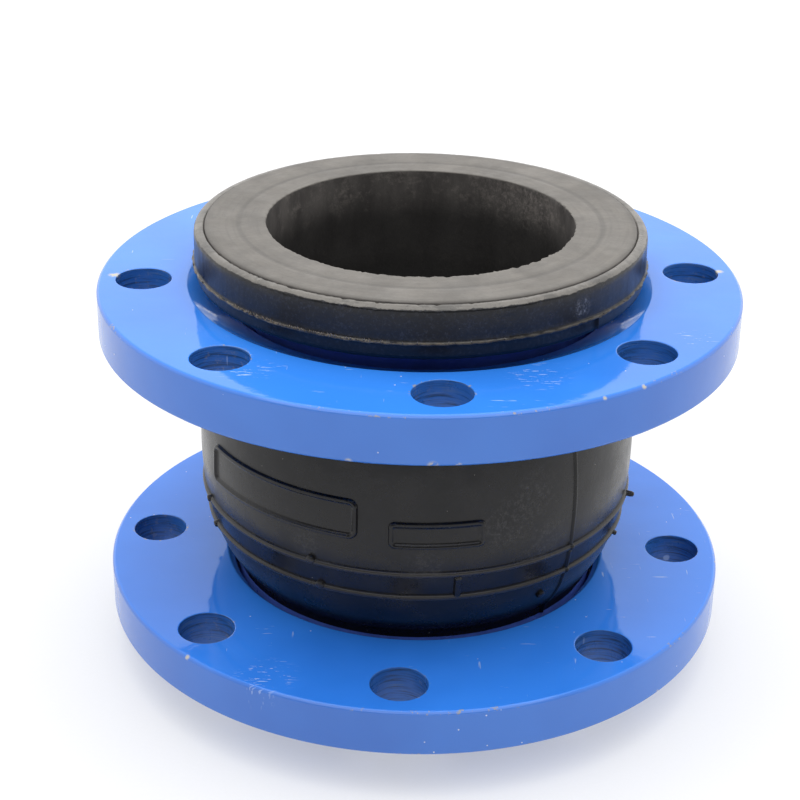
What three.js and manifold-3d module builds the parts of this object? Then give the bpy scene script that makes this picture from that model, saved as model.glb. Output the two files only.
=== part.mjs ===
// Single-arch rubber pipe expansion joint with two loose drilled flanges.
// Millimetres, +Z up, origin on the axis at the lower sealing face.
import * as THREE from 'three';
import * as BufferGeometryUtils from 'three/addons/utils/BufferGeometryUtils.js';
import Module from 'manifold-3d';

const wasm = await Module();
wasm.setup();

// ---- driving dimensions -------------------------------------------------
const LENGTH = 150;           // sealing face to sealing face, relaxed
const BORE_R = 50;            // nominal 100 mm fluid bore
const GAP = 0.3;              // air left between neighbouring pieces

const FLANGE = {
  r: 105,                     // 210 mm outside diameter
  thickness: 16,
  edgeBreak: 0.8,             // chamfer on the two outer corners
  throatR: 63,                // hole that clears the rubber neck
  throatChamfer: 2.8,         // on the arch side
  dishR: 76,                  // mouth of the dished bead seat
  dishDepth: 4.9,
  dishCurve: 1.5,             // 1 is a straight cone, more is hollower
  boltCircleR: 90,            // 180 mm pitch circle
  boltHoleR: 9,               // clearance for M16 bolts
  boltCount: 8,
};
const LOWER_FLANGE_FACE_Z = 15.5;   // outer face, dish seated on the lower bead
const UPPER_FLANGE_FACE_Z = 130.5;  // outer face, slid down onto the arch shoulder
const LOWER_SWIVEL_DEG = -3;
const UPPER_SWIVEL_DEG = 4;

const WALL = { liner: 3, ply: 0.9, plies: 4, neckR: 61.5 };
const PLY_PITCH = WALL.ply + GAP;

const BEAD = {
  r: 73.3,                    // outside of the bead
  lipR: 69.85,                // edge of the sealing face, seam to the cover
  lipThickness: 3,
  rimDrop: 0.5,               // cover rim sits just under the sealing face
  rimChamfer: 0.7,
  flashDepth: 11.85,          // moulding flash line round the side
  flashRise: 0.6,
  flashHalfWidth: 0.5,
  sideDepth: 15.4,            // straight side ends here
  undersideDepth: 19.4,       // curved underside meets the neck
  turnupDepth: 14,            // plies end here on the bead's side
  wireDepth: 17.2,            // far end of the wire bundle
  wireCorner: 2,              // bevel of the wire bundle's section
};
// Inside of the cover below the plies and the wire bundle, radius and depth.
const COVER_POCKET = [[66.5, 17.6], [70.15, 14.6]];
const COVER_POCKET_DEPTH = 18.2;
const NECK_CUT = 30;          // depth where stiff end meets flexible arch
const ARCH_MID = LENGTH / 2;

// Outside radius of the arch by height, lower half; the upper half mirrors it.
const ARCH_OUTSIDE = [
  [NECK_CUT + GAP / 2, 61.5], [33.5, 62.5], [35.8, 64.3], [38.5, 66.0], [43, 68.2],
  [50, 70.4], [60, 72.2], [ARCH_MID, 73.1],
];
// Heights at which the layers under the cover bend.
const LAYER_KNOTS = [NECK_CUT + GAP / 2, 36.5, 50, ARCH_MID];
const RIB_HEIGHTS = [50.4, 59.6];   // two raised rings on the lower half
const RIB_RISE = 0.8;
const RIB_HALF_WIDTH = 0.8;

const RUBBER_SEGMENTS = 32;
const FLANGE_SEGMENTS = 64;
const HOLE_SEGMENTS = 20;

// ---- materials ----------------------------------------------------------
const FINISH = {
  enamel: { color: 0x1d5fd0, roughness: 0.25, metalness: 0.0 },
  cover: { color: 0x1c1d21, roughness: 0.6, metalness: 0.0 },
  liner: { color: 0x8f8c85, roughness: 0.8, metalness: 0.0 },
  cord: { color: 0xb9ab8a, roughness: 0.9, metalness: 0.0 },
  wire: { color: 0x9a9da1, roughness: 0.35, metalness: 1.0 },
};

// ---- helpers ------------------------------------------------------------
function revolve(profile, segments) {
  const loop = [...profile, profile[0]].map(([r, z]) => new THREE.Vector2(r, z));
  const geometry = new THREE.LatheGeometry(loop, segments);
  geometry.rotateX(Math.PI / 2);
  return closed(geometry);
}

function closed(geometry) {
  geometry.deleteAttribute('normal');
  geometry.deleteAttribute('uv');
  return BufferGeometryUtils.mergeVertices(geometry, 1e-4);
}

function toManifold(geometry) {
  const vertProperties = new Float32Array(geometry.attributes.position.array);
  const triVerts = new Uint32Array(geometry.index.array);
  return new wasm.Manifold(new wasm.Mesh({ numProp: 3, vertProperties, triVerts }));
}

function toGeometry(manifold) {
  const mesh = manifold.getMesh();
  const geometry = new THREE.BufferGeometry();
  geometry.setAttribute('position', new THREE.BufferAttribute(mesh.vertProperties, 3));
  geometry.setIndex(new THREE.BufferAttribute(mesh.triVerts, 1));
  return geometry;
}

function piece(name, geometry, finish) {
  geometry.computeVertexNormals();
  const mesh = new THREE.Mesh(geometry, new THREE.MeshStandardMaterial(FINISH[finish]));
  mesh.name = name;
  return mesh;
}

// A profile drawn by depth from its own end face, turned into heights.
// 'lower' measures up from z = 0, 'upper' down from z = LENGTH.
function atEnd(profile, end) {
  if (end === 'lower') return profile;
  return profile.map(([r, depth]) => [r, LENGTH - depth]).reverse();
}

function interpolate(table, z) {
  const i = Math.min(table.findIndex(([height]) => height >= z), table.length - 1);
  const [z1, r1] = table[Math.max(i, 1)];
  const [z0, r0] = table[Math.max(i, 1) - 1];
  return r0 + (r1 - r0) * (z - z0) / (z1 - z0);
}

function archRadius(z) {
  return interpolate(ARCH_OUTSIDE, Math.min(z, LENGTH - z));
}

function mirroredHeights(lowerHeights) {
  const upper = lowerHeights.filter((z) => z < ARCH_MID).map((z) => LENGTH - z).reverse();
  return [...lowerHeights, ...upper];
}

// ---- flanges ------------------------------------------------------------
// Profile by radius and depth from the outer, pipe-side face.
function flangeProfile() {
  const { r, thickness: t, edgeBreak: c, throatR, throatChamfer: b } = FLANGE;
  const points = [[r - c, 0], [r, c], [r, t - c], [r - c, t], [throatR + b, t], [throatR, t - b]];
  const steps = 4;
  for (let i = steps; i >= 0; i -= 1) {
    const inward = i / steps;
    const fall = 1 - (1 - inward) ** FLANGE.dishCurve;
    points.push([FLANGE.dishR - (FLANGE.dishR - throatR) * inward, FLANGE.dishDepth * fall]);
  }
  return points;
}

function boltHole(index) {
  const length = FLANGE.thickness * 2;
  const hole = new THREE.CylinderGeometry(
    FLANGE.boltHoleR, FLANGE.boltHoleR, length, HOLE_SEGMENTS);
  hole.rotateX(Math.PI / 2);
  const angle = (index * 2 * Math.PI) / FLANGE.boltCount - Math.PI / 2;
  hole.translate(
    FLANGE.boltCircleR * Math.cos(angle), FLANGE.boltCircleR * Math.sin(angle),
    FLANGE.thickness / 2);
  return toManifold(closed(hole));
}

// Drilled flange, outer face at z = 0 and the arch side above it.
function drilledFlange() {
  let body = toManifold(revolve(flangeProfile(), FLANGE_SEGMENTS));
  for (let i = 0; i < FLANGE.boltCount; i += 1) body = body.subtract(boltHole(i));
  return toGeometry(body);
}

function flange(name, faceZ, swivelDeg, outerFaceUp) {
  const mesh = piece(name, drilledFlange(), 'enamel');
  mesh.rotation.x = outerFaceUp ? Math.PI : 0;
  const turn = new THREE.Group();
  turn.rotation.z = THREE.MathUtils.degToRad(outerFaceUp ? swivelDeg + 180 : swivelDeg);
  turn.position.z = faceZ;
  turn.add(mesh);
  return turn;
}

// ---- stiff ends of the rubber body --------------------------------------
const END_CUT = NECK_CUT - GAP / 2;

// Inner liner where it lines the bore and turns out as the sealing face.
function linerLip() {
  const r = BORE_R + WALL.liner;
  return [
    [BORE_R, 0], [BEAD.lipR, 0], [BEAD.lipR, BEAD.lipThickness],
    [r, BEAD.lipThickness], [r, END_CUT], [BORE_R, END_CUT],
  ];
}

// One cord ply: up the neck, out under the sealing face and down the bead's side.
function plyTurnup(number) {
  const step = (number - 1) * PLY_PITCH;
  const neck = BORE_R + WALL.liner + GAP + step;
  const top = BEAD.lipThickness + GAP + step;
  const side = BEAD.lipR - step;
  const t = WALL.ply;
  const end = BEAD.turnupDepth;
  return [
    [neck, END_CUT], [neck, top], [side, top], [side, end],
    [side - t, end], [side - t, top + t], [neck + t, top + t], [neck + t, END_CUT],
  ];
}

// Wound wire bundle that stiffens the bead, six-sided in section.
function beadRing() {
  const inside = BORE_R + WALL.liner + GAP + WALL.plies * PLY_PITCH + GAP;
  const outside = BEAD.lipR - WALL.plies * PLY_PITCH - GAP;
  const top = BEAD.lipThickness + WALL.plies * PLY_PITCH + 2 * GAP;
  const middle = (inside + outside) / 2;
  const { wireDepth: bottom, wireCorner: corner } = BEAD;
  return [
    [inside, top + corner], [middle, top], [outside, top + corner],
    [outside, bottom - corner], [middle, bottom], [inside, bottom - corner],
  ];
}

// Outer cover from the rim of the sealing face round the bead to the neck.
function coverCollar() {
  const seam = BEAD.lipR + GAP;
  const flash = BEAD.flashDepth;
  const inner = coverInsideR();
  const points = [
    [seam, BEAD.rimDrop], [BEAD.r - BEAD.rimChamfer, BEAD.rimDrop],
    [BEAD.r, BEAD.rimDrop + BEAD.rimChamfer],
    [BEAD.r, flash - BEAD.flashHalfWidth], [BEAD.r + BEAD.flashRise, flash],
    [BEAD.r, flash + BEAD.flashHalfWidth],
  ];
  const steps = 5;
  const width = BEAD.r - WALL.neckR;
  const drop = BEAD.undersideDepth - BEAD.sideDepth;
  for (let i = 0; i <= steps; i += 1) {
    const angle = (Math.PI / 2) * (i / steps);
    points.push([WALL.neckR + width * Math.cos(angle), BEAD.sideDepth + drop * Math.sin(angle)]);
  }
  points.push([WALL.neckR, END_CUT], [inner, END_CUT]);
  points.push([inner, COVER_POCKET_DEPTH], ...COVER_POCKET);
  return points;
}

function coverInsideR() {
  return BORE_R + WALL.liner + GAP + WALL.plies * PLY_PITCH;
}

function stiffEnd(end) {
  const turn = (profile) => revolve(atEnd(profile, end), RUBBER_SEGMENTS);
  const pieces = [piece(`${end}_liner_lip`, turn(linerLip()), 'liner')];
  for (let n = 1; n <= WALL.plies; n += 1) {
    pieces.push(piece(`${end}_ply_${n}_turnup`, turn(plyTurnup(n)), 'cord'));
  }
  pieces.push(piece(`${end}_bead_ring`, turn(beadRing()), 'wire'));
  pieces.push(piece(`${end}_cover_collar`, turn(coverCollar()), 'cover'));
  return pieces;
}

// ---- flexible arch ------------------------------------------------------
// Closed band between two depths below the arch's outside surface.
function archBand(innerDepth, outerDepth, outsideProfile) {
  const heights = mirroredHeights(LAYER_KNOTS);
  const outside = outsideProfile ?? heights.map((z) => [archRadius(z) - outerDepth, z]);
  const inside = heights.map((z) => [archRadius(z) - innerDepth, z]).reverse();
  return revolve([...outside, ...inside], RUBBER_SEGMENTS);
}

// Outside of the cover, with the two raised rings added.
function ribbedOutside() {
  const heights = mirroredHeights(ARCH_OUTSIDE.map(([z]) => z));
  const points = heights.map((z) => [archRadius(z), z]);
  for (const z of RIB_HEIGHTS) {
    points.push(
      [archRadius(z - RIB_HALF_WIDTH), z - RIB_HALF_WIDTH],
      [archRadius(z) + RIB_RISE, z],
      [archRadius(z + RIB_HALF_WIDTH), z + RIB_HALF_WIDTH]);
  }
  const reach = RIB_HALF_WIDTH - 0.01;
  const insideRib = (z) => RIB_HEIGHTS.some((rib) => Math.abs(z - rib) < reach);
  const kept = points.filter(([r, z]) => !insideRib(z) || r > archRadius(z) + RIB_RISE / 2);
  return kept.sort((a, b) => a[1] - b[1]);
}

function arch() {
  const wall = WALL.neckR - BORE_R;
  const pieces = [piece('arch_liner', archBand(wall, wall - WALL.liner), 'liner')];
  for (let n = 1; n <= WALL.plies; n += 1) {
    const depth = wall - WALL.liner - GAP - (n - 1) * PLY_PITCH;
    pieces.push(piece(`arch_ply_${n}`, archBand(depth, depth - WALL.ply), 'cord'));
  }
  const coverDepth = WALL.neckR - coverInsideR();
  pieces.push(piece('arch_cover', archBand(coverDepth, 0, ribbedOutside()), 'cover'));
  return pieces;
}

// ---- assembly -----------------------------------------------------------
const group = new THREE.Group();
group.name = 'rubber_expansion_joint';
group.add(...stiffEnd('lower'), ...arch(), ...stiffEnd('upper'));
group.add(flange('lower_flange', LOWER_FLANGE_FACE_Z, LOWER_SWIVEL_DEG, false));
group.add(flange('upper_flange', UPPER_FLANGE_FACE_Z, UPPER_SWIVEL_DEG, true));

export default group;
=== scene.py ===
"""Looks for the rubber expansion joint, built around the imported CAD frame. Metres, +Z up."""
import math
import random

import bmesh
import bpy
import numpy as np
from mathutils import Matrix, Vector, noise


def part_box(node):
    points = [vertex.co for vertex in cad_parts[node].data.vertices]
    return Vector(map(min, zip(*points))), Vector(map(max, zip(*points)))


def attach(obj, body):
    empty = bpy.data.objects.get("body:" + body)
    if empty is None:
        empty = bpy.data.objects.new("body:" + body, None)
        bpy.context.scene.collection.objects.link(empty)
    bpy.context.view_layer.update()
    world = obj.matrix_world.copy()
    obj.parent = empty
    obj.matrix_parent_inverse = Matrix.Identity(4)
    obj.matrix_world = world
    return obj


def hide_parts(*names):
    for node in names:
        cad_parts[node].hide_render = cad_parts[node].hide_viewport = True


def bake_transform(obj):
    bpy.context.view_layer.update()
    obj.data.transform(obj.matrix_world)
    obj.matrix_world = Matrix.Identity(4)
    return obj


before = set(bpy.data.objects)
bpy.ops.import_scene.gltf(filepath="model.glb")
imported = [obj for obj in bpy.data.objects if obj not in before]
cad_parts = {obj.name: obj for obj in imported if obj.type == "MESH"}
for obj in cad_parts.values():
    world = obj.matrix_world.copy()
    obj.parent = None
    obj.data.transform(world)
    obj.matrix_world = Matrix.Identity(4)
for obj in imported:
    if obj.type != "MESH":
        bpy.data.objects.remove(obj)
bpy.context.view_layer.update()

MM = 0.001
TAU = 2 * math.pi

# ---- dimensions, in millimetres, as in the CAD unless noted -------------
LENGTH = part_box("upper_liner_lip")[1].z / MM
MID = LENGTH / 2
BORE_R = 50.0
LIP_R = 69.85
LIP_THICKNESS = 3.0
BEAD_R = 73.3
NECK_R = 61.5
COVER_INSIDE_R = 58.1
LINER_OUTSIDE_R = 53.0
PLY = 0.9
PLY_PITCH = 1.2
PLIES = 4
FIRST_PLY = 3.3              # from the bore to the innermost ply
WALL = NECK_R - BORE_R
CUT = 30.0                   # stiff end meets flexible arch
SEAM = 0.07                  # groove between sealing face and cover, 0.3 in the CAD
FLASH_DEPTH = 11.85
SIDE_DEPTH = 15.4
UNDERSIDE_DEPTH = 19.4
FLANGE_R = 105.0
FLANGE_T = 16.0
FLANGE_EDGE = 0.9            # bevel of the rim, 0.8 in the CAD
THROAT_R = 63.0
THROAT_CHAMFER = 2.3         # on the arch side, 2.8 in the CAD
DISH_R = 76.0
DISH_DEPTH = 4.9
DISH_CURVE = 1.5             # 1 is a straight cone, more is hollower
HOLE_CIRCLE_R = 90.0
HOLE_R = 9.0
HOLE_EASE = 0.45             # rounding of a bolt hole's edges, not in the CAD
HOLES = 8
FLANGES = {  # outer face height, swivel in degrees, outer face looks up
    "lower_flange": (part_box("lower_flange")[0].z / MM, -3.0, False),
    "upper_flange": (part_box("upper_flange")[1].z / MM, 4.0, True),
}
# outside radius of the arch by height, lower half; the CAD has fewer points
ARCH = [(30.0, 61.5), (31.5, 61.7), (33.5, 62.5), (35.8, 64.3), (38.5, 66.0), (43.0, 68.2),
        (50.0, 70.4), (60.0, 72.2), (68.0, 72.9), (75.0, 73.1)]
BAND_EDGES = [CUT, 56.0, 94.0, LENGTH - CUT]
TILT_START = 38.0            # the stiff end reaches this height
RIBS = [50.4, 59.6]
RIB_RISE = 0.95              # 0.8 in the CAD
RIB_HALF_WIDTH = 1.2         # 0.8 in the CAD
PARTINGS_DEG = (-47.0, 133.0)            # mould parting lines of the arch
COLLAR_PARTINGS_DEG = (-43.0, 137.0)     # and of the beads
FIRST_HOLE_DEG = -90.0       # before the flange is swivelled
TORN_DEG = -112.0            # where the bead's edges are roughest

# segments round each ring
ARCH_COLUMNS = 256
HIDDEN_COLUMNS = 96
FLANGE_COLUMNS = 320
LIP_COLUMNS = 384
COLLAR_COLUMNS = 512
DRILL_COLUMNS = 64


# ---- mesh helpers -------------------------------------------------------
def mesh_object(name, verts, faces, smooth_deg=32.0):
    mesh = bpy.data.meshes.new(name)
    mesh.from_pydata([tuple(v) for v in verts], [], faces)
    bm = bmesh.new()
    bm.from_mesh(mesh)
    bmesh.ops.remove_doubles(bm, verts=bm.verts, dist=1e-7)
    bmesh.ops.recalc_face_normals(bm, faces=bm.faces)
    bm.to_mesh(mesh)
    bm.free()
    mesh.shade_smooth()
    mesh.set_sharp_from_angle(angle=math.radians(smooth_deg))
    obj = bpy.data.objects.new(name, mesh)
    bpy.context.scene.collection.objects.link(obj)
    return obj


def remember_rest(obj):
    """Store each point's place at rest, so that materials stay put when a joint bends the mesh."""
    points = np.empty(len(obj.data.vertices) * 3, np.float32)
    obj.data.vertices.foreach_get("co", points)
    rest = obj.data.attributes.new("rest", "FLOAT_VECTOR", "POINT")
    rest.data.foreach_set("vector", points)


def even_angles(count):
    return [i * TAU / count for i in range(count)]


def wrap_deg(degrees):
    return (degrees + 180) % 360 - 180


def along_ring(angle, line_deg, radius):
    """Distance along the surface from a vertical line, in millimetres."""
    return abs(wrap_deg(math.degrees(angle) - line_deg)) * math.pi / 180 * radius


def ease(t):
    """From 0 to 1 with level ends."""
    return t * t * (3 - 2 * t)


def on_axis(radius, angle, height):
    """Millimetres round the axis to a point in metres."""
    return radius * math.cos(angle) * MM, radius * math.sin(angle) * MM, height * MM


def revolve(profile, angles, shape=None):
    """Closed ring from a closed profile of (radius, height) in millimetres.
    shape(angle, radius, height) may return a changed radius and height."""
    verts, faces = [], []
    n, m = len(profile), len(angles)
    for a in angles:
        for r, z in profile:
            if shape:
                r, z = shape(a, r, z)
            verts.append(on_axis(r, a, z))
    for j in range(m):
        k = (j + 1) % m
        for i in range(n):
            h = (i + 1) % n
            faces.append((j * n + i, k * n + i, k * n + h, j * n + h))
    return verts, faces


def rounded(points, radii, steps=4):
    """The closed polygon with its corners replaced by arcs of about these radii."""
    out = []
    n = len(points)
    for i, (p, radius) in enumerate(zip(points, radii)):
        if radius <= 0:
            out.append(p)
            continue
        p = Vector(p)
        back = Vector(points[i - 1]) - p
        ahead = Vector(points[(i + 1) % n]) - p
        start = p + back.normalized() * min(radius, back.length * 0.45)
        end = p + ahead.normalized() * min(radius, ahead.length * 0.45)
        for k in range(steps + 1):
            t = k / steps
            q = start * (1 - t) ** 2 + p * 2 * t * (1 - t) + end * t ** 2
            out.append((q.x, q.y))
    return out


def densify(points, step):
    """Closed profile with no side longer than step."""
    out = []
    for i, p in enumerate(points):
        q = points[(i + 1) % len(points)]
        count = max(1, math.ceil(math.dist(p, q) / step))
        for k in range(count):
            t = k / count
            out.append((p[0] + (q[0] - p[0]) * t, p[1] + (q[1] - p[1]) * t))
    return out


def merge(parts):
    verts, faces = [], []
    for part_verts, part_faces in parts:
        base = len(verts)
        verts += part_verts
        faces += [tuple(i + base for i in face) for face in part_faces]
    return verts, faces


def turned_over(verts):
    """The same points measured from the upper end of the joint."""
    return [(x, y, LENGTH * MM - z) for x, y, z in verts]


# ---- outline of the arch ------------------------------------------------
def smooth_table(table):
    """Cubic through the table, level at both ends; returns a function of height."""
    x = np.array([p[0] for p in table])
    y = np.array([p[1] for p in table])
    slope = np.gradient(y, x)
    slope[0] = 0.0
    slope[-1] = 0.0

    def value(h):
        h = min(max(h, x[0]), x[-1])
        i = min(int(np.searchsorted(x, h, side="right")) - 1, len(x) - 2)
        w = x[i + 1] - x[i]
        t = (h - x[i]) / w
        a, b = y[i], y[i + 1]
        return (a * (1 + 2 * t) * (1 - t) ** 2 + b * ease(t)
                + slope[i] * w * t * (1 - t) ** 2 + slope[i + 1] * w * t * t * (t - 1))

    return value


arch_table = smooth_table(ARCH)


def arch_radius(z):
    return arch_table(min(z, LENGTH - z))


def hollow_radius(z):
    """Inside of the liner: from the bore out to the hollow of the arch in one easy curve."""
    t = (min(z, LENGTH - z) - CUT) / (MID - CUT)
    return BORE_R + (arch_radius(MID) - WALL - BORE_R) * ease(t)


# ---- node helpers -------------------------------------------------------
class Tree:
    """Short calls for building a node material."""

    def __init__(self, name, carried=False):
        """carried is for a mesh from the CAD, which has no rest attribute."""
        self.material = bpy.data.materials.new(name)
        self.material.use_nodes = True
        self.nodes = self.material.node_tree.nodes
        self.links = self.material.node_tree.links
        self.shader = self.nodes["Principled BSDF"]
        if carried:
            self.position = self.nodes.new("ShaderNodeTexCoord").outputs["Object"]
        else:
            rest = self.nodes.new("ShaderNodeAttribute")
            rest.attribute_name = "rest"
            self.position = rest.outputs["Vector"]
        parts = self.nodes.new("ShaderNodeSeparateXYZ")
        self.links.new(self.position, parts.inputs[0])
        self.x, self.y, self.z = parts.outputs

    def put(self, socket, value):
        if isinstance(value, bpy.types.NodeSocket):
            self.links.new(value, socket)
        else:
            socket.default_value = value

    def math(self, operation, *values):
        node = self.nodes.new("ShaderNodeMath")
        node.operation = operation
        for socket, value in zip(node.inputs, values):
            self.put(socket, value)
        return node.outputs[0]

    def plus(self, a, b):
        return self.math("ADD", a, b)

    def minus(self, a, b):
        return self.math("SUBTRACT", a, b)

    def times(self, a, b):
        return self.math("MULTIPLY", a, b)

    def gap(self, a, b):
        """How far apart two values are."""
        return self.math("ABSOLUTE", self.minus(a, b))

    def hypot(self, a, b):
        return self.math("SQRT", self.plus(self.times(a, a), self.times(b, b)))

    def radius(self):
        return self.hypot(self.x, self.y)

    def angle(self):
        return self.math("ARCTAN2", self.y, self.x)

    def noise_on(self, vector, scale, detail=3.0, roughness=0.6):
        node = self.nodes.new("ShaderNodeTexNoise")
        node.inputs["Scale"].default_value = scale
        node.inputs["Detail"].default_value = detail
        node.inputs["Roughness"].default_value = roughness
        self.links.new(vector, node.inputs["Vector"])
        return node.outputs["Fac"]

    def noise(self, scale, detail=4.0, roughness=0.6):
        return self.noise_on(self.position, scale, detail, roughness)

    def cells(self, scale):
        node = self.nodes.new("ShaderNodeTexVoronoi")
        node.inputs["Scale"].default_value = scale
        self.links.new(self.position, node.inputs["Vector"])
        return node.outputs["Distance"]

    def scaled(self, factors):
        node = self.nodes.new("ShaderNodeMapping")
        node.inputs["Scale"].default_value = factors
        self.links.new(self.position, node.inputs["Vector"])
        return node.outputs[0]

    def polar(self, outward, round_axis, upward):
        """Coordinates that run round the axis, so that marks follow the turned shape."""
        node = self.nodes.new("ShaderNodeCombineXYZ")
        self.put(node.inputs[0], self.times(self.radius(), outward))
        self.put(node.inputs[1], self.times(self.angle(), round_axis))
        self.put(node.inputs[2], self.times(self.z, upward))
        return node.outputs[0]

    def from_hole(self):
        """Distance from the axis of the nearest bolt hole, on whichever flange this is."""
        sector = TAU / HOLES
        lower, upper = [math.radians(swivel) for _, swivel, _ in FLANGES.values()]
        is_upper = self.math("GREATER_THAN", self.z, MID * MM)
        swivel = self.plus(lower, self.times(is_upper, upper - lower))
        turned = self.minus(self.plus(self.angle(), TAU + sector * 2.5), swivel)
        folded = self.minus(self.math("MODULO", turned, sector), sector / 2)
        outward = self.times(self.radius(), self.math("COSINE", folded))
        across = self.times(self.radius(), self.math("SINE", folded))
        return self.hypot(self.minus(outward, HOLE_CIRCLE_R * MM), across)

    def spot(self, azimuth_deg, radius, height, size):
        """1 near a point on the object, fading to 0 at size. All in millimetres."""
        node = self.nodes.new("ShaderNodeVectorMath")
        node.operation = "DISTANCE"
        self.links.new(self.position, node.inputs[0])
        node.inputs[1].default_value = on_axis(radius, math.radians(azimuth_deg), height)
        return self.ramp(node.outputs["Value"], size * MM, size * MM * 0.25)

    def parting(self, azimuth_deg, width):
        """1 along a vertical line at that azimuth."""
        a = math.radians(azimuth_deg)
        across = self.minus(self.times(self.y, math.cos(a)), self.times(self.x, math.sin(a)))
        ahead = self.plus(self.times(self.x, math.cos(a)), self.times(self.y, math.sin(a)))
        near = self.ramp(self.math("ABSOLUTE", across), width * MM, width * MM * 0.5)
        return self.times(near, self.math("GREATER_THAN", ahead, 0.0))

    def ramp(self, value, low, high, bottom=0.0, top=1.0):
        node = self.nodes.new("ShaderNodeMapRange")
        node.interpolation_type = "SMOOTHSTEP"
        self.put(node.inputs["Value"], value)
        for key, number in (("From Min", low), ("From Max", high),
                            ("To Min", bottom), ("To Max", top)):
            node.inputs[key].default_value = number
        return node.outputs["Result"]

    def mix(self, factor, a, b):
        node = self.nodes.new("ShaderNodeMix")
        node.data_type = "RGBA"
        self.put(node.inputs["Factor"], factor)
        self.put(node.inputs["A"], self.colour(a))
        self.put(node.inputs["B"], self.colour(b))
        return node.outputs["Result"]

    @staticmethod
    def colour(value):
        return (*value, 1.0) if isinstance(value, tuple) else value

    def bump(self, height, distance, strength=1.0, under=None):
        node = self.nodes.new("ShaderNodeBump")
        node.inputs["Strength"].default_value = strength
        node.inputs["Distance"].default_value = distance
        self.put(node.inputs["Height"], height)
        if under is not None:
            self.links.new(under, node.inputs["Normal"])
        return node.outputs["Normal"]

    def finish(self, colour, roughness, normal, **constants):
        self.put(self.shader.inputs["Base Color"], self.colour(colour))
        self.put(self.shader.inputs["Roughness"], roughness)
        self.links.new(normal, self.shader.inputs["Normal"])
        for key, value in constants.items():
            self.shader.inputs[key.replace("_", " ")].default_value = value
        return self.material


# ---- materials ----------------------------------------------------------
# marks by azimuth in degrees, radius, height and size in millimetres
CHIPS = [(-178.0, 99.8, 130.5, 2.6), (4.5, 99.8, 130.5, 2.0), (-101.0, 104.8, 114.8, 1.6),
         (-88.0, 104.9, 114.7, 2.2), (-84.0, 104.9, 114.7, 1.5), (-52.0, 104.8, 130.2, 1.2),
         (-60.0, 104.8, 130.2, 1.0), (-133.0, 104.8, 31.2, 1.3), (-42.0, 104.8, 16.0, 1.5)]
SCRATCH_CLUSTERS = [(-124.0, 91.0, 130.5, 11.0), (-66.0, 84.0, 130.5, 12.0),
                    (-30.0, 97.0, 130.5, 8.0), (-118.0, 98.0, 31.5, 12.0)]
ARCH_SCUFFS = [(-68, 73, 75, 13), (-56, 73, 66, 11), (-60, 73, 84, 12),
               (-88, 73, 62, 9), (-118, 73, 66, 7)]
BEAD_SCUFFS = [(-49, 73, 143, 4.5)]
BORE_DUST = [(50, 50, 144, 22), (35, 50, 142, 16)]

FACE_BLUE = (0.028, 0.195, 0.72), (0.037, 0.232, 0.82)
RIM_BLUE_SHADE_AND_SHEEN = (0.050, 0.165, 0.57), (0.058, 0.195, 0.64)
HOLE_PAINTED_SHADE = (0.016, 0.050, 0.13)
HOLE_PALE = (0.11, 0.18, 0.30)
PAINT_DUST = (0.62, 0.66, 0.72)
PRIMER = (0.30, 0.29, 0.26)
CHIPPED = (0.50, 0.47, 0.38)
FINE_SCRATCH = (0.45, 0.58, 0.82)
DEEP_SCRATCH = (0.50, 0.62, 0.85)
BLACK_RUBBER = (0.0035, 0.0035, 0.0045), (0.008, 0.0075, 0.0085)
BLOOM = (0.022, 0.021, 0.021)
SPECK = (0.40, 0.38, 0.35)
RIB_RUBBED_AND_HIGHLIGHT = (0.034, 0.031, 0.028)
ARCH_DUST = (0.15, 0.145, 0.14)
SEAM_BLACK_AND_SHADE = (0.003, 0.003, 0.003)
BEAD_GRAIN = (0.045, 0.050, 0.068)
BEAD_DUST = (0.35, 0.37, 0.42)
FLASH = (0.034, 0.030, 0.026)
DUSTY_FLASH = (0.15, 0.125, 0.095)
TORN_TIPS = (0.36, 0.28, 0.20)
PAINTED_BLUE_BOUNCE = (0.065, 0.125, 0.46)
GROUND = (0.130, 0.121, 0.110), (0.183, 0.170, 0.153)
GROUND_RINGS = (0.10, 0.096, 0.09)
GROUND_WORN = (0.095, 0.09, 0.085)
GROUND_PITS = (0.05, 0.048, 0.045)
GROUND_PALE = (0.27, 0.26, 0.24)
GROUND_DARK = (0.06, 0.058, 0.055)
FACE_STEP = (0.07, 0.067, 0.063)
FACE_EDGE = (0.085, 0.08, 0.075)
BORE_BROWN = (0.062, 0.057, 0.055), (0.125, 0.115, 0.108)
BORE_CRUMBS = (0.19, 0.172, 0.158)
BORE_SCUFF = (0.30, 0.27, 0.25)
BORE_PAINTED_SHADE = (0.020, 0.019, 0.0185)
CORD_SHADES = (0.09, 0.08, 0.065), (0.42, 0.36, 0.26)
WIRE_SHADES = (0.42, 0.41, 0.40), (0.56, 0.55, 0.53)
PAPER = (0.44, 0.44, 0.44), (0.47, 0.47, 0.47)
RUBBER_IOR = 1.4
PAINT_IOR = 1.5


def specks(t, scale, low, high, patch_scale, patch_low, patch_high):
    """Scattered dots, only where a broader noise is high."""
    dots = t.ramp(t.cells(scale), low, high)
    return t.times(dots, t.ramp(t.noise(patch_scale, 2.0), patch_low, patch_high))


def bored_walls(t, blue, bored, tooling):
    """Thin, streaky paint on the walls of the bolt holes, with painted shade darkening the walls
    in streaks along the tooling marks.
    """
    dark = t.times(bored, t.ramp(tooling, 0.38, 0.52, 0.95, 0.45))
    blue = t.mix(dark, blue, HOLE_PAINTED_SHADE)
    pale = t.times(bored, t.ramp(tooling, 0.54, 0.66, 0.0, 0.6))
    return t.mix(pale, blue, HOLE_PALE)


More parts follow.
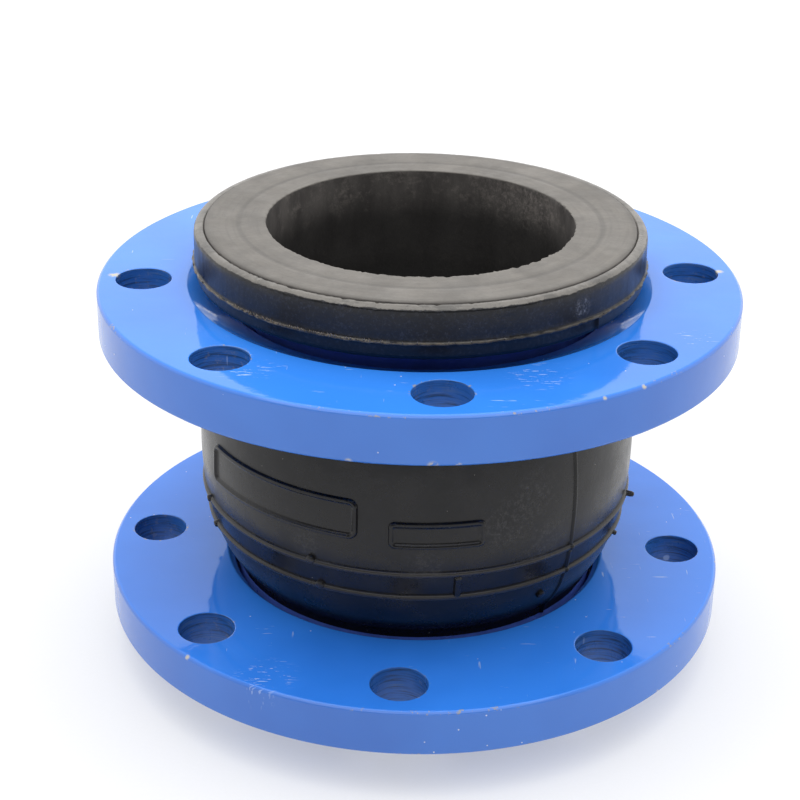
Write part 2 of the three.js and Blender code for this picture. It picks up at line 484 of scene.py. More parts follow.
def worn_edges(t, blue, hole):
    """Paint rubbed through along the rim's bevels and the edges of the holes, and a few chips."""
    bevel = t.times(t.ramp(t.radius(), (FLANGE_R - 1.3) * MM, (FLANGE_R - 0.9) * MM),
                    t.ramp(t.radius(), (FLANGE_R - 0.01) * MM, (FLANGE_R - 0.1) * MM))
    lip = t.ramp(t.gap(hole, (HOLE_R + HOLE_EASE) * MM), 0.0006, 0.0002)
    broken = t.times(t.ramp(t.noise(420.0, 5.0, 0.7), 0.56, 0.62),
                     t.ramp(t.noise(30.0, 2.0), 0.52, 0.60))
    blue = t.mix(t.times(t.math("MAXIMUM", bevel, lip), broken), blue, PRIMER)
    ragged_chip = t.ramp(t.noise(500.0, 4.0, 0.7), 0.42, 0.50)
    for chip in CHIPS:
        blue = t.mix(t.times(t.spot(*chip), ragged_chip), blue, CHIPPED)
    return blue


def scratched(t, blue, cloud):
    """Fine strokes two ways over the faces, and clusters of short deeper dashes."""
    strokes = t.math("MAXIMUM", t.noise_on(t.scaled((700.0, 70.0, 70.0)), 1.0, 2.0),
                     t.noise_on(t.scaled((80.0, 800.0, 80.0)), 1.0, 2.0))
    fine = t.times(t.ramp(strokes, 0.71, 0.75), t.ramp(cloud, 0.50, 0.56))
    on_face = t.ramp(t.radius(), (FLANGE_R - 1.5) * MM, (FLANGE_R - 2.0) * MM, 0.0, 0.6)
    blue = t.mix(t.times(fine, on_face), blue, FINE_SCRATCH)
    dashes = t.ramp(t.noise_on(t.scaled((240.0, 1400.0, 240.0)), 1.0), 0.60, 0.66, 0.0, 0.8)
    for cluster in SCRATCH_CLUSTERS:
        blue = t.mix(t.times(t.spot(*cluster), dashes), blue, DEEP_SCRATCH)
    return blue


def enamel():
    t = Tree("blue_enamel")
    cloud = t.noise(14.0, 3.0)
    patches = t.ramp(cloud, 0.35, 0.65)
    turned = t.ramp(t.radius(), (FLANGE_R - 0.9) * MM, (FLANGE_R - 0.2) * MM)
    hole = t.from_hole()
    bored = t.ramp(hole, (HOLE_R + 0.25) * MM, (HOLE_R + 0.10) * MM)
    tooling = t.noise_on(t.scaled((60.0, 60.0, 1500.0)), 1.0, 4.0, 0.7)
    dust = specks(t, 210.0, 0.065, 0.035, 34.0, 0.50, 0.60)
    # The rim gets a darker, duller blue than the faces: painted shade on the sides and a painted
    # whitish sheen.
    blue = t.mix(turned, t.mix(patches, *FACE_BLUE), t.mix(patches, *RIM_BLUE_SHADE_AND_SHEEN))
    blue = bored_walls(t, blue, bored, tooling)
    blue = t.mix(dust, blue, PAINT_DUST)
    blue = worn_edges(t, blue, hole)
    blue = scratched(t, blue, cloud)
    normal = t.bump(t.noise(70.0, 2.0, 0.5), 0.0005, 0.10)
    normal = t.bump(t.noise(230.0, 3.0), 0.00010, 0.40, normal)
    normal = t.bump(t.times(tooling, bored), 0.0003, 0.35, normal)
    rough = t.plus(t.ramp(t.noise(90.0), 0.3, 0.7, 0.04, 0.09), t.times(turned, 0.12))
    rough = t.plus(rough, t.plus(t.times(dust, 0.4), t.times(bored, 0.22)))
    return t.finish(blue, rough, normal, IOR=PAINT_IOR)


def rubber_colour(t):
    dark = t.mix(t.ramp(t.noise(45.0, 6.0, 0.65), 0.3, 0.7), *BLACK_RUBBER)
    bloom = t.noise_on(t.scaled((1.0, 1.0, 2.0)), 18.0, 5.0, 0.7)
    dark = t.mix(t.ramp(bloom, 0.5, 0.75, 0.0, 0.3), dark, BLOOM)
    return t.mix(t.times(specks(t, 260.0, 0.05, 0.025, 40.0, 0.53, 0.60), 0.8), dark, SPECK)


def scuffed(t, colour, spots, tint, amount):
    """Dusty rubbed patches at the given spots."""
    broken = t.ramp(t.noise(650.0, 8.0, 0.85), 0.46, 0.70)
    for spot in spots:
        colour = t.mix(t.times(t.spot(*spot), t.times(broken, amount)), colour, tint)
    return colour


def rubber_surface(t, low, high):
    """Roughness between the two values, and the normal."""
    normal = t.bump(t.noise(120.0), 0.00035, 0.30)
    normal = t.bump(t.noise(900.0), 0.00006, 0.5, normal)
    return t.ramp(t.noise(70.0, 5.0, 0.7), 0.3, 0.7, low, high), normal


def arch_rubber():
    t = Tree("arch_rubber")
    colour = rubber_colour(t)
    # Ribs painted a lighter grey-brown: partly rubbed rubber, partly a painted highlight on their
    # tops.
    for rib in RIBS:
        on_rib = t.ramp(t.gap(t.z, rib * MM), RIB_HALF_WIDTH * MM, RIB_HALF_WIDTH * MM * 0.7,
                        0.0, 0.75)
        colour = t.mix(on_rib, colour, RIB_RUBBED_AND_HIGHLIGHT)
    colour = scuffed(t, colour, ARCH_SCUFFS, ARCH_DUST, 0.35)
    # Parting lines painted darker: partly a black seam, partly painted shade beside the ridge.
    for line in PARTINGS_DEG:
        colour = t.mix(t.times(t.parting(line, 1.1), 0.8), colour, SEAM_BLACK_AND_SHADE)
    rough, normal = rubber_surface(t, 0.22, 0.36)
    return t.finish(colour, rough, normal, IOR=RUBBER_IOR)


def ground_grey(t):
    """Grey of ground rubber, and the fine turned rings in it."""
    rings = t.noise_on(t.polar(900.0, 3.0, 0.0), 1.0)
    grey = t.mix(t.ramp(t.noise(60.0, 6.0, 0.7), 0.3, 0.7), *GROUND)
    grey = t.mix(t.ramp(rings, 0.45, 0.75, 0.0, 0.35), grey, GROUND_RINGS)
    wear = t.ramp(t.noise(24.0, 4.0, 0.7), 0.5, 0.7, 0.0, 0.35)
    grey = t.mix(wear, grey, GROUND_WORN)
    pits = t.ramp(t.cells(520.0), 0.10, 0.05, 0.0, 0.5)
    return t.mix(pits, grey, GROUND_PITS), rings


def end_depth(t):
    """Distance in from whichever end plane is nearer."""
    return t.math("MINIMUM", t.z, t.minus(LENGTH * MM, t.z))


def near_end(t, inside, ragged_by=0.0006):
    """1 on what lies within that distance of either end plane."""
    wobble = t.times(t.minus(t.noise(260.0, 5.0, 0.7), 0.5), ragged_by)
    depth = t.plus(end_depth(t), wobble)
    return t.ramp(depth, (inside + 0.1) * MM, (inside - 0.1) * MM)


def flash_colour(t, colour):
    """Brown flash round the bead, dustier towards the left front, with pale torn tips."""
    off = t.gap(end_depth(t), FLASH_DEPTH * MM)
    proud = t.ramp(t.radius(), (BEAD_R + 0.22) * MM, (BEAD_R + 0.40) * MM)
    flash = t.times(t.ramp(off, 0.0034, 0.0028), proud)
    dusty = t.times(t.times(flash, t.ramp(t.x, 0.030, -0.015, 0.12, 0.9)),
                    t.ramp(t.noise(420.0, 5.0, 0.75), 0.38, 0.62, 0.15, 1.0))
    tips = t.times(t.ramp(off, 0.0005, 0.0008), flash)
    colour = t.mix(flash, colour, FLASH)
    colour = t.mix(dusty, colour, DUSTY_FLASH)
    return t.mix(tips, colour, TORN_TIPS)


def bead_cover():
    t = Tree("bead_rubber")
    grain = t.ramp(t.noise(800.0, 4.0, 0.8), 0.48, 0.72, 0.0, 0.45)
    colour = t.mix(grain, rubber_colour(t), BEAD_GRAIN)
    colour = scuffed(t, colour, BEAD_SCUFFS, BEAD_DUST, 0.8)
    colour = flash_colour(t, colour)
    # The rubber neck under the bead is tinted navy: painted blue bounce light from the flange in
    # the shaded gap.
    neck = t.times(t.ramp(t.radius(), 0.070, 0.064), t.ramp(end_depth(t), 0.016, 0.018))
    painted_bounce = t.times(neck, t.ramp(t.noise(90.0), 0.3, 0.6, 0.75, 1.0))
    colour = t.mix(painted_bounce, colour, PAINTED_BLUE_BOUNCE)
    grey, _ = ground_grey(t)
    pale = t.ramp(t.noise(300.0, 5.0, 0.8), 0.54, 0.68, 0.0, 0.5)
    dark = t.ramp(t.noise(110.0, 5.0, 0.75), 0.48, 0.62, 0.0, 0.6)
    grey = t.mix(dark, t.mix(pale, grey, GROUND_PALE), GROUND_DARK)
    colour = t.mix(near_end(t, 1.35, 0.0012), colour, grey)
    rough, normal = rubber_surface(t, 0.26, 0.40)
    return t.finish(colour, rough, normal, IOR=RUBBER_IOR)


def bore_colour(t, streak):
    """Brown, dusty rubber in the bore, with painted shade that darkens it with depth."""
    brown = t.mix(t.ramp(streak, 0.3, 0.75), *BORE_BROWN)
    crumbs = t.ramp(t.noise(170.0, 6.0, 0.8), 0.50, 0.68, 0.0, 0.7)
    brown = t.mix(crumbs, brown, BORE_CRUMBS)
    brown = scuffed(t, brown, BORE_DUST, BORE_SCUFF, 0.75)
    painted_depth_shade = t.ramp(end_depth(t), 0.005, 0.018, 0.0, 0.88)
    return t.mix(painted_depth_shade, brown, BORE_PAINTED_SHADE)


def sealing_rubber():
    t = Tree("liner_rubber")
    grey, rings = ground_grey(t)
    step = t.ramp(t.gap(t.radius(), 0.0588), 0.0014, 0.0003, 0.0, 0.35)
    grey = t.mix(step, grey, FACE_STEP)
    outer = t.ramp(t.radius(), 0.0672, 0.0695, 0.0, 0.35)
    grey = t.mix(outer, grey, FACE_EDGE)
    streak = t.noise_on(t.polar(60.0, 5.0, 40.0), 1.0, 6.0, 0.7)
    colour = t.mix(near_end(t, 0.45), bore_colour(t, streak), grey)
    normal = t.bump(rings, 0.0002, 0.22)
    normal = t.bump(t.noise(700.0), 0.00009, 0.8, normal)
    normal = t.bump(t.noise(90.0, 4.0, 0.7), 0.0006, 0.3, normal)
    return t.finish(colour, t.ramp(streak, 0.3, 0.7, 0.5, 0.7), normal, IOR=RUBBER_IOR)


def cord_fabric():
    t = Tree("rubberised_cord", carried=True)
    weave = t.math("SINE", t.plus(t.times(t.angle(), 260.0), t.times(t.z, 2400.0)))
    colour = t.mix(t.ramp(weave, -0.4, 0.6), *CORD_SHADES)
    return t.finish(colour, 0.85, t.bump(weave, 0.0002, 0.5))


def wire_steel():
    t = Tree("bead_wire_steel", carried=True)
    strand = t.math("SINE", t.times(t.z, 3600.0))
    colour = t.mix(t.ramp(t.noise(220.0), 0.3, 0.7), *WIRE_SHADES)
    return t.finish(colour, t.ramp(strand, -1.0, 1.0, 0.5, 0.3),
                    t.bump(strand, 0.0003, 0.6), Metallic=1.0)


def floor_paper():
    """Pale paper with a light-table glow."""
    t = Tree("pale_paper", carried=True)
    grain = t.noise(900.0, 3.0)
    return t.finish(t.mix(grain, *PAPER), 0.9, t.bump(grain, 0.0001, 0.1),
                    Specular_IOR_Level=0.1, Emission_Color=(1, 1, 1, 1), Emission_Strength=0.42)


ENAMEL = enamel()
ARCH_RUBBER = arch_rubber()
BEAD_RUBBER = bead_cover()
LINER_RUBBER = sealing_rubber()
CORD_FABRIC = cord_fabric()
WIRE_STEEL = wire_steel()


def dress(obj, material):
    remember_rest(obj)
    obj.data.materials.clear()
    obj.data.materials.append(material)


# ---- flanges ------------------------------------------------------------
def flange_profile():
    """Radius and depth from the outer face."""
    points = [(FLANGE_R - FLANGE_EDGE, 0), (FLANGE_R, FLANGE_EDGE),
              (FLANGE_R, FLANGE_T - FLANGE_EDGE), (FLANGE_R - FLANGE_EDGE, FLANGE_T),
              (THROAT_R + THROAT_CHAMFER, FLANGE_T), (THROAT_R, FLANGE_T - THROAT_CHAMFER),
              (THROAT_R, DISH_DEPTH)]
    radii = [0.35, 0.35, 0.35, 0.35, 0.5, 0.5, 1.0]
    steps = 14
    for i in range(2, steps + 1):                 # the rounded throat takes up the first step
        outward = i / steps
        fall = 1 - outward ** DISH_CURVE
        points.append((THROAT_R + (DISH_R - THROAT_R) * outward, DISH_DEPTH * fall))
        radii.append(0.0)
    radii[-1] = 0.3
    return rounded(points, radii)


def drill_outline():
    """Radius and height of a drill with flared ends, which eases the edges of its hole."""
    reach, steps = 3.0, 4
    outline = [(0.001, -reach), (HOLE_R + HOLE_EASE + reach, -reach), (HOLE_R + HOLE_EASE, 0.0)]
    for k in range(1, steps + 1):
        a = math.pi / 2 * k / steps
        outline.append((HOLE_R + HOLE_EASE * (1 - math.sin(a)), HOLE_EASE * (1 - math.cos(a))))
    return outline + [(r, FLANGE_T - z) for r, z in reversed(outline)]


def drill(index):
    """The drill at one place on the hole circle."""
    outline, angles = drill_outline(), even_angles(DRILL_COLUMNS)
    n, m = len(outline), len(angles)
    cx, cy, _ = on_axis(HOLE_CIRCLE_R, math.radians(FIRST_HOLE_DEG) + index * TAU / HOLES, 0)
    rings = [on_axis(r, a, z) for a in angles for r, z in outline]
    verts = [(x + cx, y + cy, z) for x, y, z in rings]
    faces = []
    for j in range(m):
        k = (j + 1) % m
        faces += [(j * n + i, k * n + i, k * n + i + 1, j * n + i + 1) for i in range(n - 1)]
    faces.append(tuple(j * n for j in reversed(range(m))))
    faces.append(tuple(j * n + n - 1 for j in range(m)))
    return verts, faces


def drilled_ring(name):
    smooth_deg = 28
    ring = mesh_object(name, *revolve(flange_profile(), even_angles(FLANGE_COLUMNS)), smooth_deg)
    drills = mesh_object(name + "_drills", *merge([drill(i) for i in range(HOLES)]))
    cut = ring.modifiers.new("holes", "BOOLEAN")
    cut.operation = "DIFFERENCE"
    cut.solver = "EXACT"
    cut.object = drills
    bpy.context.view_layer.update()
    graph = bpy.context.evaluated_depsgraph_get()
    mesh = bpy.data.meshes.new_from_object(ring.evaluated_get(graph))
    ring.modifiers.clear()
    ring.data = mesh
    bpy.data.objects.remove(drills)
    mesh.shade_smooth()
    mesh.set_sharp_from_angle(angle=math.radians(smooth_deg))
    weighted = ring.modifiers.new("weighted", "WEIGHTED_NORMAL")
    weighted.keep_sharp = True
    weighted.weight = 90
    return ring


def build_flanges():
    for name, (face_z, swivel, faces_up) in FLANGES.items():
        ring = drilled_ring(name + "_painted")
        place = Matrix.Translation((0, 0, face_z * MM))
        if faces_up:
            turn = Matrix.Rotation(math.radians(swivel + 180), 4, "Z")
            place = place @ turn @ Matrix.Rotation(math.pi, 4, "X")
        else:
            place = place @ Matrix.Rotation(math.radians(swivel), 4, "Z")
        ring.data.transform(place)
        dress(ring, ENAMEL)
        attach(ring, name)
        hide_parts(name)


# ---- stiff ends, built by radius and depth from the end plane -----------
def ragged(angle, seed, amount=1.0):
    """Uneven offset that changes along the ring."""
    at = Vector((math.cos(angle) * 9, math.sin(angle) * 9, seed))
    return amount * noise.fractal(at, 0.6, 2.2, 4)


def lip_profile():
    points = [(BORE_R, 0), (LIP_R, 0), (LIP_R, LIP_THICKNESS), (LINER_OUTSIDE_R, LIP_THICKNESS),
              (LINER_OUTSIDE_R, CUT), (BORE_R, CUT)]
    return densify(rounded(points, [0.5, 1.1, 0.2, 0.2, 0, 0], 6), 1.0)


def liner_lip(end):
    """Sealing face and the start of the bore."""
    seed = 3.0 if end == "upper" else 8.0
    hollow_from, hollow_width, hollow_depth = 57.0, 3.5, 0.18

    def shape(a, r, d):
        if r < BORE_R + 1.0 and d < 1.0:          # hand-trimmed bore edge
            rough = 0.35 + 0.5 * max(0.0, math.cos(a - math.radians(-62)))
            r += ragged(a * 2.5, seed, rough) * (1.0 - d)
        if 0 < r - hollow_from < hollow_width and d < 0.2:       # faint concentric hollow
            d += hollow_depth * math.sin(math.pi * (r - hollow_from) / hollow_width)
        return r, d

    verts, faces = revolve(lip_profile(), even_angles(LIP_COLUMNS), shape)
    if end == "upper":
        verts = turned_over(verts)
    lip = mesh_object(end + "_sealing_liner", verts, faces)
    dress(lip, LINER_RUBBER)
    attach(lip, end + "_end")
    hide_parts(end + "_liner_lip")


def collar_profile():
    """Skin of the bead, with a flash line round it, down to the cut in the neck."""
    seam = LIP_R + SEAM
    below_r = BEAD_R - 0.4
    points = [(seam, 0.45), (BEAD_R - 1.3, 0.62), (BEAD_R - 0.1, 1.5),
              (BEAD_R, FLASH_DEPTH - 0.8), (BEAD_R + 0.6, FLASH_DEPTH - 0.25),
              (BEAD_R + 0.6, FLASH_DEPTH + 0.2), (below_r, FLASH_DEPTH + 0.6)]
    radii = [0.9, 0.6, 0.6, 0.3, 0.25, 0.25, 0.2]
    steps = 16
    width, drop = below_r - NECK_R, UNDERSIDE_DEPTH - SIDE_DEPTH
    for i in range(steps + 1):
        a = math.pi / 2 * i / steps
        points.append((NECK_R + width * math.cos(a), SIDE_DEPTH + drop * math.sin(a)))
        radii.append(0.0)
    points += [(NECK_R, CUT), (COVER_INSIDE_R, CUT),
               (COVER_INSIDE_R, 18.2), (66.5, 17.6), (seam, 14.6)]
    radii += [0.0] * 5
    return densify(rounded(points, radii, 3), 1.5)


def uneven_side(a, r, d, seed):
    """The flash line wanders, and the side is hand-finished."""
    if abs(d - FLASH_DEPTH) < 0.5 and r > BEAD_R + 0.2:
        return r + 0.35 * ragged(a * 3, seed), d + 0.25 * ragged(a * 2, seed + 2)
    if r > BEAD_R - 0.2 and 1.5 < d < SIDE_DEPTH + 1:
        return r + 0.10 * ragged(a, seed + 4), d
    return r, d


def web_under_flash(a, r, d):
    """A web of rubber under the flash at each parting."""
    width, rise = 0.9, 0.8
    if r > BEAD_R - 0.8 and FLASH_DEPTH < d < 17.5:
        for line in COLLAR_PARTINGS_DEG:
            off = along_ring(a, line, BEAD_R)
            if off < width:
                r += rise * (1 - off / width)
    return r


def nicked_rim(a, r, d, seed):
    """Nicks in the rim and a torn inner edge, worst at one place."""
    if d < 2.4 and r > LIP_R:
        torn = max(0.0, math.cos(a - math.radians(TORN_DEG))) ** 4
        d += max(0.0, ragged(a * 16, seed + 9) - 0.2) * (0.15 + 0.5 * torn)
        if r < LIP_R + 1.2:
            r += max(0.0, ragged(a * 11, seed + 3)) * (0.1 + 0.7 * torn)
    return r, d


def burr(angle_deg, height, width, lean):
    """One fibre of torn flash, a thin four-sided spike standing on the bead's side."""
    a = math.radians(angle_deg)
    depth = FLASH_DEPTH + 0.1
    base_r = BEAD_R + 0.35
    half = width / 2 / base_r
    ring = [(a - half, base_r - 0.2, depth), (a + half, base_r - 0.2, depth),
            (a + half, base_r + 0.25, depth), (a - half, base_r + 0.25, depth)]
    tip = (a + lean / base_r, base_r + 0.45, depth - height)
    verts = [on_axis(r, t, d) for t, r, d in ring + [tip]]
    return verts, [(0, 1, 2, 3), (0, 1, 4), (1, 2, 4), (2, 3, 4), (3, 0, 4)]


def burrs(rng):
    """Most of them crowd round one place, the rest are anywhere."""
    count, crowd, crowd_deg, spread_deg = 190, 0.75, -118, 12
    parts = []
    for _ in range(count):
        crowded = rng.random() < crowd
        deg = rng.gauss(crowd_deg, spread_deg) if crowded else rng.uniform(-180, 180)
        height = rng.uniform(0.4, 1.6)
        width = rng.uniform(0.15, 0.35)
        lean = rng.uniform(-0.6, 0.3)
        parts.append(burr(deg, height, width, lean))
    return parts


def cover_collar(end):
    rng = random.Random(11 if end == "upper" else 12)
    seed = 1.0 if end == "upper" else 6.0

    def shape(a, r, d):
        r, d = uneven_side(a, r, d, seed)
        r = web_under_flash(a, r, d)
        return nicked_rim(a, r, d, seed)

    skin = revolve(collar_profile(), even_angles(COLLAR_COLUMNS), shape)
    verts, faces = merge([skin] + burrs(rng))
    if end == "upper":
        verts = turned_over(verts)
    collar = mesh_object(end + "_bead_cover", verts, faces)
    dress(collar, BEAD_RUBBER)
    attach(collar, end + "_end")
    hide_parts(end + "_cover_collar")


# ---- arch ---------------------------------------------------------------
# name, body below, body above, and the heights between which a band bends from one to the other
BANDS = (
    ("lower", "lower_end", "arch_lower", TILT_START, BAND_EDGES[1]),
    ("middle", "arch_lower", "arch_upper", BAND_EDGES[1], BAND_EDGES[2]),
    ("upper", "arch_upper", "upper_end", BAND_EDGES[2], LENGTH - TILT_START),
)
PARTING_RISE = 0.6
PARTING_HALF_WIDTH = 0.75
PARTING_R = 73.0             # arch radius used to turn degrees into millimetres
# vent nubs: azimuth, height, radius, rise
LOWER_NUBS = [(-115, 51.3, 1.5, 1.3), (-22, 50.6, 0.8, 2.0), (168, 50.4, 0.9, 1.8),
              (-159, 50.8, 1.2, 1.5), (70, 50.4, 0.9, 1.2), (-54, 43.5, 1.5, 1.0)]
MIDDLE_NUBS = [(-117, 60.5, 1.5, 1.3), (-13, 59.8, 1.0, 3.3), (-160, 60.0, 1.2, 1.6),
               (118, 59.6, 0.9, 1.4), (35, 59.6, 0.9, 1.2)]
# pads: azimuth, height, width, height of the pad, rise
BARS = [(-79.5, 54.8, 2.7, 8.8, 1.15), (-47, 54.6, 1.7, 8.6, 0.75)]
BLANK_PLATES = [(-129, 78.0, 62.0, 14.0, 0.95), (-85, 74.0, 30.0, 9.5, 0.95)]
PLATE_BORDER = 1.4
PAD_STEP = 0.45
PAD_SINK = 0.5
PAD_R = 72.0                 # arch radius used to turn millimetres into angle


def rib_rise(z):
    best = 0.0
    for rib in RIBS:
        off = abs(z - rib) / RIB_HALF_WIDTH
        if off < 1:
            best = max(best, RIB_RISE * (1 - off ** 3))
    return best


def parting_rise(angle):
    for line in PARTINGS_DEG:
        off = along_ring(angle, line, PARTING_R) / PARTING_HALF_WIDTH
        if off < 1:
            return PARTING_RISE * (1 - off ** 3)
    return 0.0


def band_angles():
    """Even spacing, with extra columns at the parting lines."""
    degrees = {i * 360.0 / ARCH_COLUMNS for i in range(ARCH_COLUMNS)}
    for line in PARTINGS_DEG:
        degrees |= {(line + k * 0.16) % 360 for k in range(-6, 7)}
    return [math.radians(d) for d in sorted(degrees)]


def heights(low, high, step):
    """Even spacing, with extra rows at the ribs."""
    count = max(2, math.ceil((high - low) / step))
    levels = {low + (high - low) * i / count for i in range(count + 1)}
    for rib in RIBS:
        rows = [rib + k * RIB_HALF_WIDTH / 6 for k in range(-6, 7)]
        levels |= {z for z in rows if low < z < high}
    ordered = sorted(levels)
    return [z for i, z in enumerate(ordered) if i == 0 or z - ordered[i - 1] > 0.02]


def layer_band(low, high, inner_depth, outer_depth, angles, step, detailed):
    """One height band of a layer that lies between two depths below the arch's surface."""
    levels = heights(low, high, step)
    outer = [(arch_radius(z) - outer_depth, z) for z in levels]
    if inner_depth == WALL:
        inner = [(hollow_radius(z), z) for z in reversed(levels)]
    else:
        inner = [(arch_radius(z) - inner_depth, z) for z in reversed(levels)]

    def shape(a, r, z):
        if detailed and abs(r - (arch_radius(z) - outer_depth)) < 0.01:
            r += rib_rise(z) + parting_rise(a)
            r += 0.06 * noise.fractal(Vector((math.cos(a) * 5, math.sin(a) * 5, z / 12)), 1, 2, 3)
        return r, z

    return revolve(outer + inner, angles, shape)


def nub(deg, z, radius, rise):
    """Small moulding vent nub: a short domed stud that stands square to the arch."""
    a = math.radians(deg)
    sink, columns = 0.6, 14
    base = arch_radius(z) - sink
    slope = arch_radius(z + 0.5) - arch_radius(z - 0.5)
    out = Vector((math.cos(a), math.sin(a), -slope)).normalized()
    side = Vector((-math.sin(a), math.cos(a), 0))
    up = out.cross(side)
    centre = Vector((base * math.cos(a), base * math.sin(a), z))
    dome = [(1.0, 0.0), (1.0, sink + rise * 0.7), (0.8, sink + rise * 0.93), (0.4, sink + rise)]
    verts, faces = [], []
    for size, lift in dome:
        for t in even_angles(columns):
            p = centre + out * lift + (side * math.cos(t) + up * math.sin(t)) * radius * size
            verts.append(tuple(p * MM))
    for level in range(len(dome) - 1):
        low, high = level * columns, (level + 1) * columns
        for k in range(columns):
            h = (k + 1) % columns
            faces.append((low + k, low + h, high + h, high + k))
    faces.append(tuple(range(columns))[::-1])
    faces.append(tuple(range((len(dome) - 1) * columns, len(dome) * columns)))
    return verts, faces


def pad_grid(width, height, corner):
    """Round-cornered grid of (x, y, distance in from the edge), and its columns and rows."""
    columns, rows = math.ceil(width / PAD_STEP), math.ceil(height / PAD_STEP)
    grid = []
    for j in range(rows + 1):
        for i in range(columns + 1):
            x, y = (i / columns - 0.5) * width, (j / rows - 0.5) * height
            dx = max(abs(x) - (width / 2 - corner), 0)
            dy = max(abs(y) - (height / 2 - corner), 0)
            out = math.hypot(dx, dy)
            edge = min(width / 2 - abs(x), height / 2 - abs(y), corner - out)
            if out > corner:                      # pull the grid's corners onto the round ones
                x -= math.copysign(dx * (1 - corner / out), x)
                y -= math.copysign(dy * (1 - corner / out), y)
            grid.append((x, y, edge))
    return grid, columns, rows


def pad_lift(edge, rise, border):
    """Height of the pad's top by distance in from its edge."""
    up = min(1.0, max(edge, 0.0) / 0.5) ** 0.7
    if border:
        up -= 0.75 * ease(min(1.0, max(edge - border, 0.0) / 0.6))
    return (rise + 0.15) * up - 0.15


def pad_faces(columns, rows):
    """Faces of two grids, one over the other, closed round their edges."""
    stride = columns + 1
    top = (rows + 1) * stride
    faces = []
    for j in range(rows):
        for i in range(columns):
            a = j * stride + i
            b, c, d = a + 1, a + 1 + stride, a + stride
            faces.append((a, d, c, b))
            faces.append((top + a, top + b, top + c, top + d))
    around = ([j * stride for j in range(rows)] + [rows * stride + i for i in range(columns)]
              + [j * stride + columns for j in range(rows, 0, -1)] + list(range(columns, 0, -1)))
    for k, a in enumerate(around):
        b = around[(k + 1) % len(around)]
        faces.append((a, b, top + b, top + a))
    return faces


def pad(deg, z, width, height, rise, border=0.0):
    """Raised moulded pad that follows the arch, round-cornered, with an optional raised border."""
    corner = min(width, height) * (0.22 if border else 0.45)
    grid, columns, rows = pad_grid(width, height, corner)
    verts = []
    for is_top in (False, True):
        for x, y, edge in grid:
            lift = pad_lift(edge, rise, border) if is_top else -PAD_SINK
            verts.append(on_axis(arch_radius(z + y) + lift, math.radians(deg) + x / PAD_R, z + y))
    return verts, pad_faces(columns, rows)


def extras(band):
    """Raised details on that band of the cover."""
    if band == "lower":
        return [nub(*n) for n in LOWER_NUBS] + [pad(*bar) for bar in BARS]
    if band == "middle":
        plates = [pad(*plate, PLATE_BORDER) for plate in BLANK_PLATES]
        return [nub(*n) for n in MIDDLE_NUBS] + plates
    return []


def arch_layers():
    """Node, depths of its inner and outer faces, angles, row spacing, material and slot."""
    fine, coarse = band_angles(), even_angles(HIDDEN_COLUMNS)
    liner_outside = WALL - (LINER_OUTSIDE_R - BORE_R)
    layers = [("arch_cover", NECK_R - COVER_INSIDE_R, 0.0, fine, 1.0, ARCH_RUBBER, "cover"),
              ("arch_liner", WALL, liner_outside, fine, 2.0, LINER_RUBBER, "liner")]
    for n in range(PLIES):
        inside = WALL - FIRST_PLY - n * PLY_PITCH
        layers.append((f"arch_ply_{n + 1}", inside, inside - PLY, coarse, 3.0,
                       CORD_FABRIC, "cord"))
    return layers


def build_arch():
    for node, inner, outer, angles, step, material, slot in arch_layers():
        is_cover = node == "arch_cover"
        for i, (band, below, above, start, end) in enumerate(BANDS):
            parts = [layer_band(BAND_EDGES[i], BAND_EDGES[i + 1], inner, outer, angles, step,
                                is_cover)]
            if is_cover:
                parts += extras(band)
            piece = mesh_object(f"{node}_{band}", *merge(parts), smooth_deg=50)
            dress(piece, material)
            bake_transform(piece)
            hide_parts(node)


def dress_carried_nodes():
    for name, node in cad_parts.items():
        for ending, material in (("turnup", CORD_FABRIC), ("bead_ring", WIRE_STEEL)):
            if name.endswith(ending):
                node.data.materials.clear()
                node.data.materials.append(material)


# ---- stage --------------------------------------------------------------
def build_floor():
    size = 6.0
    verts = [(-size, -size, 0), (size, -size, 0), (size, size, 0), (-size, size, 0)]
    floor = mesh_object("paper_floor", verts, [(0, 1, 2, 3)])
    floor.data.materials.append(floor_paper())


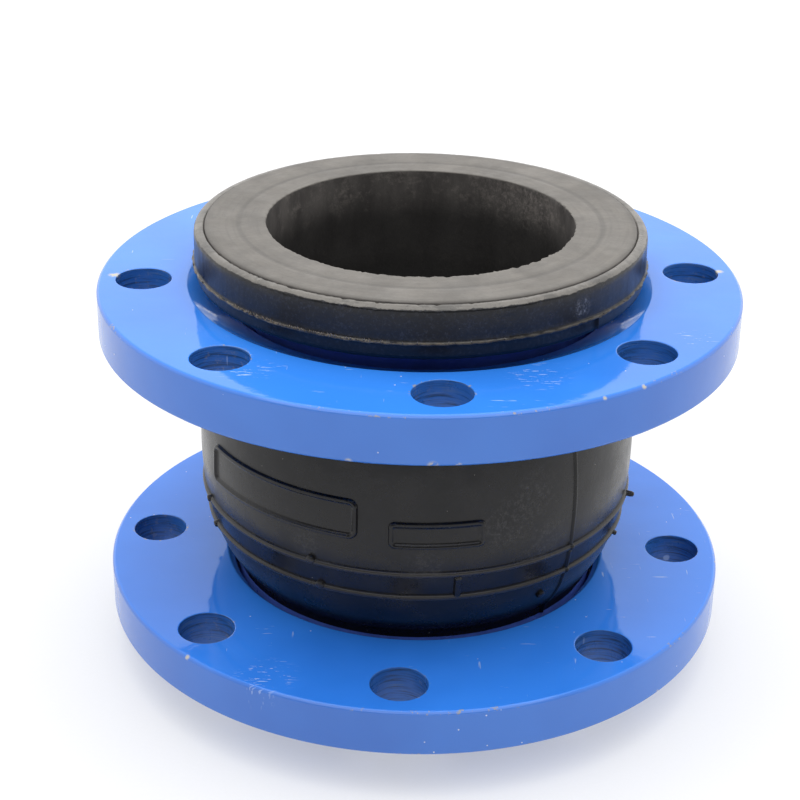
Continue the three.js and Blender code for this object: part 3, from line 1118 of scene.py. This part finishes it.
def build_world():
    """White studio: a bright backdrop behind the object, a dimmer room at the front."""
    world = bpy.data.worlds.new("studio")
    bpy.context.scene.world = world
    world.use_nodes = True
    nodes, links = world.node_tree.nodes, world.node_tree.links
    parts = nodes.new("ShaderNodeSeparateXYZ")
    links.new(nodes.new("ShaderNodeTexCoord").outputs["Generated"], parts.inputs[0])
    ramp = nodes.new("ShaderNodeMapRange")
    ramp.interpolation_type = "SMOOTHSTEP"
    for key, number in (("From Min", -0.75), ("From Max", 0.25),
                        ("To Min", 0.08), ("To Max", 1.42)):
        ramp.inputs[key].default_value = number
    links.new(parts.outputs["Y"], ramp.inputs["Value"])
    backdrop = nodes.new("ShaderNodeMath")        # plain white wherever it is seen directly
    backdrop.operation = "MAXIMUM"
    links.new(ramp.outputs["Result"], backdrop.inputs[0])
    links.new(nodes.new("ShaderNodeLightPath").outputs["Is Camera Ray"], backdrop.inputs[1])
    links.new(backdrop.outputs[0], nodes["Background"].inputs["Strength"])
    nodes["Background"].inputs["Color"].default_value = (1, 1, 1, 1)


def build_overhead_light():
    sun = bpy.data.lights.new("overhead", "SUN")
    sun.energy = 2.22
    sun.angle = math.radians(75)
    obj = bpy.data.objects.new("overhead", sun)
    obj.rotation_euler = (math.radians(18), 0, 0)
    bpy.context.scene.collection.objects.link(obj)


def build_camera():
    elevation, distance, roll = math.radians(25.56), 0.616, math.radians(0.9)
    aim = Vector((-0.0058, 0, 0.0851))
    forward = Vector((0, math.cos(elevation), -math.sin(elevation)))
    right = Vector((1, 0, 0))
    up = right.cross(forward)
    side = right * math.cos(roll) + up * math.sin(roll)
    top = up * math.cos(roll) - right * math.sin(roll)
    camera = bpy.data.cameras.new("camera")
    camera.lens = 81.72
    camera.sensor_width = 36.0
    obj = bpy.data.objects.new("camera", camera)
    axes = Matrix((side, top, -forward)).transposed().to_4x4()
    obj.matrix_world = Matrix.Translation(aim - forward * distance) @ axes
    bpy.context.scene.collection.objects.link(obj)
    bpy.context.scene.camera = obj


build_flanges()
for which in ("lower", "upper"):
    liner_lip(which)
    cover_collar(which)
build_arch()
dress_carried_nodes()
build_floor()
build_world()
build_overhead_light()
build_camera()
bpy.context.scene.view_settings.view_transform = "Standard"
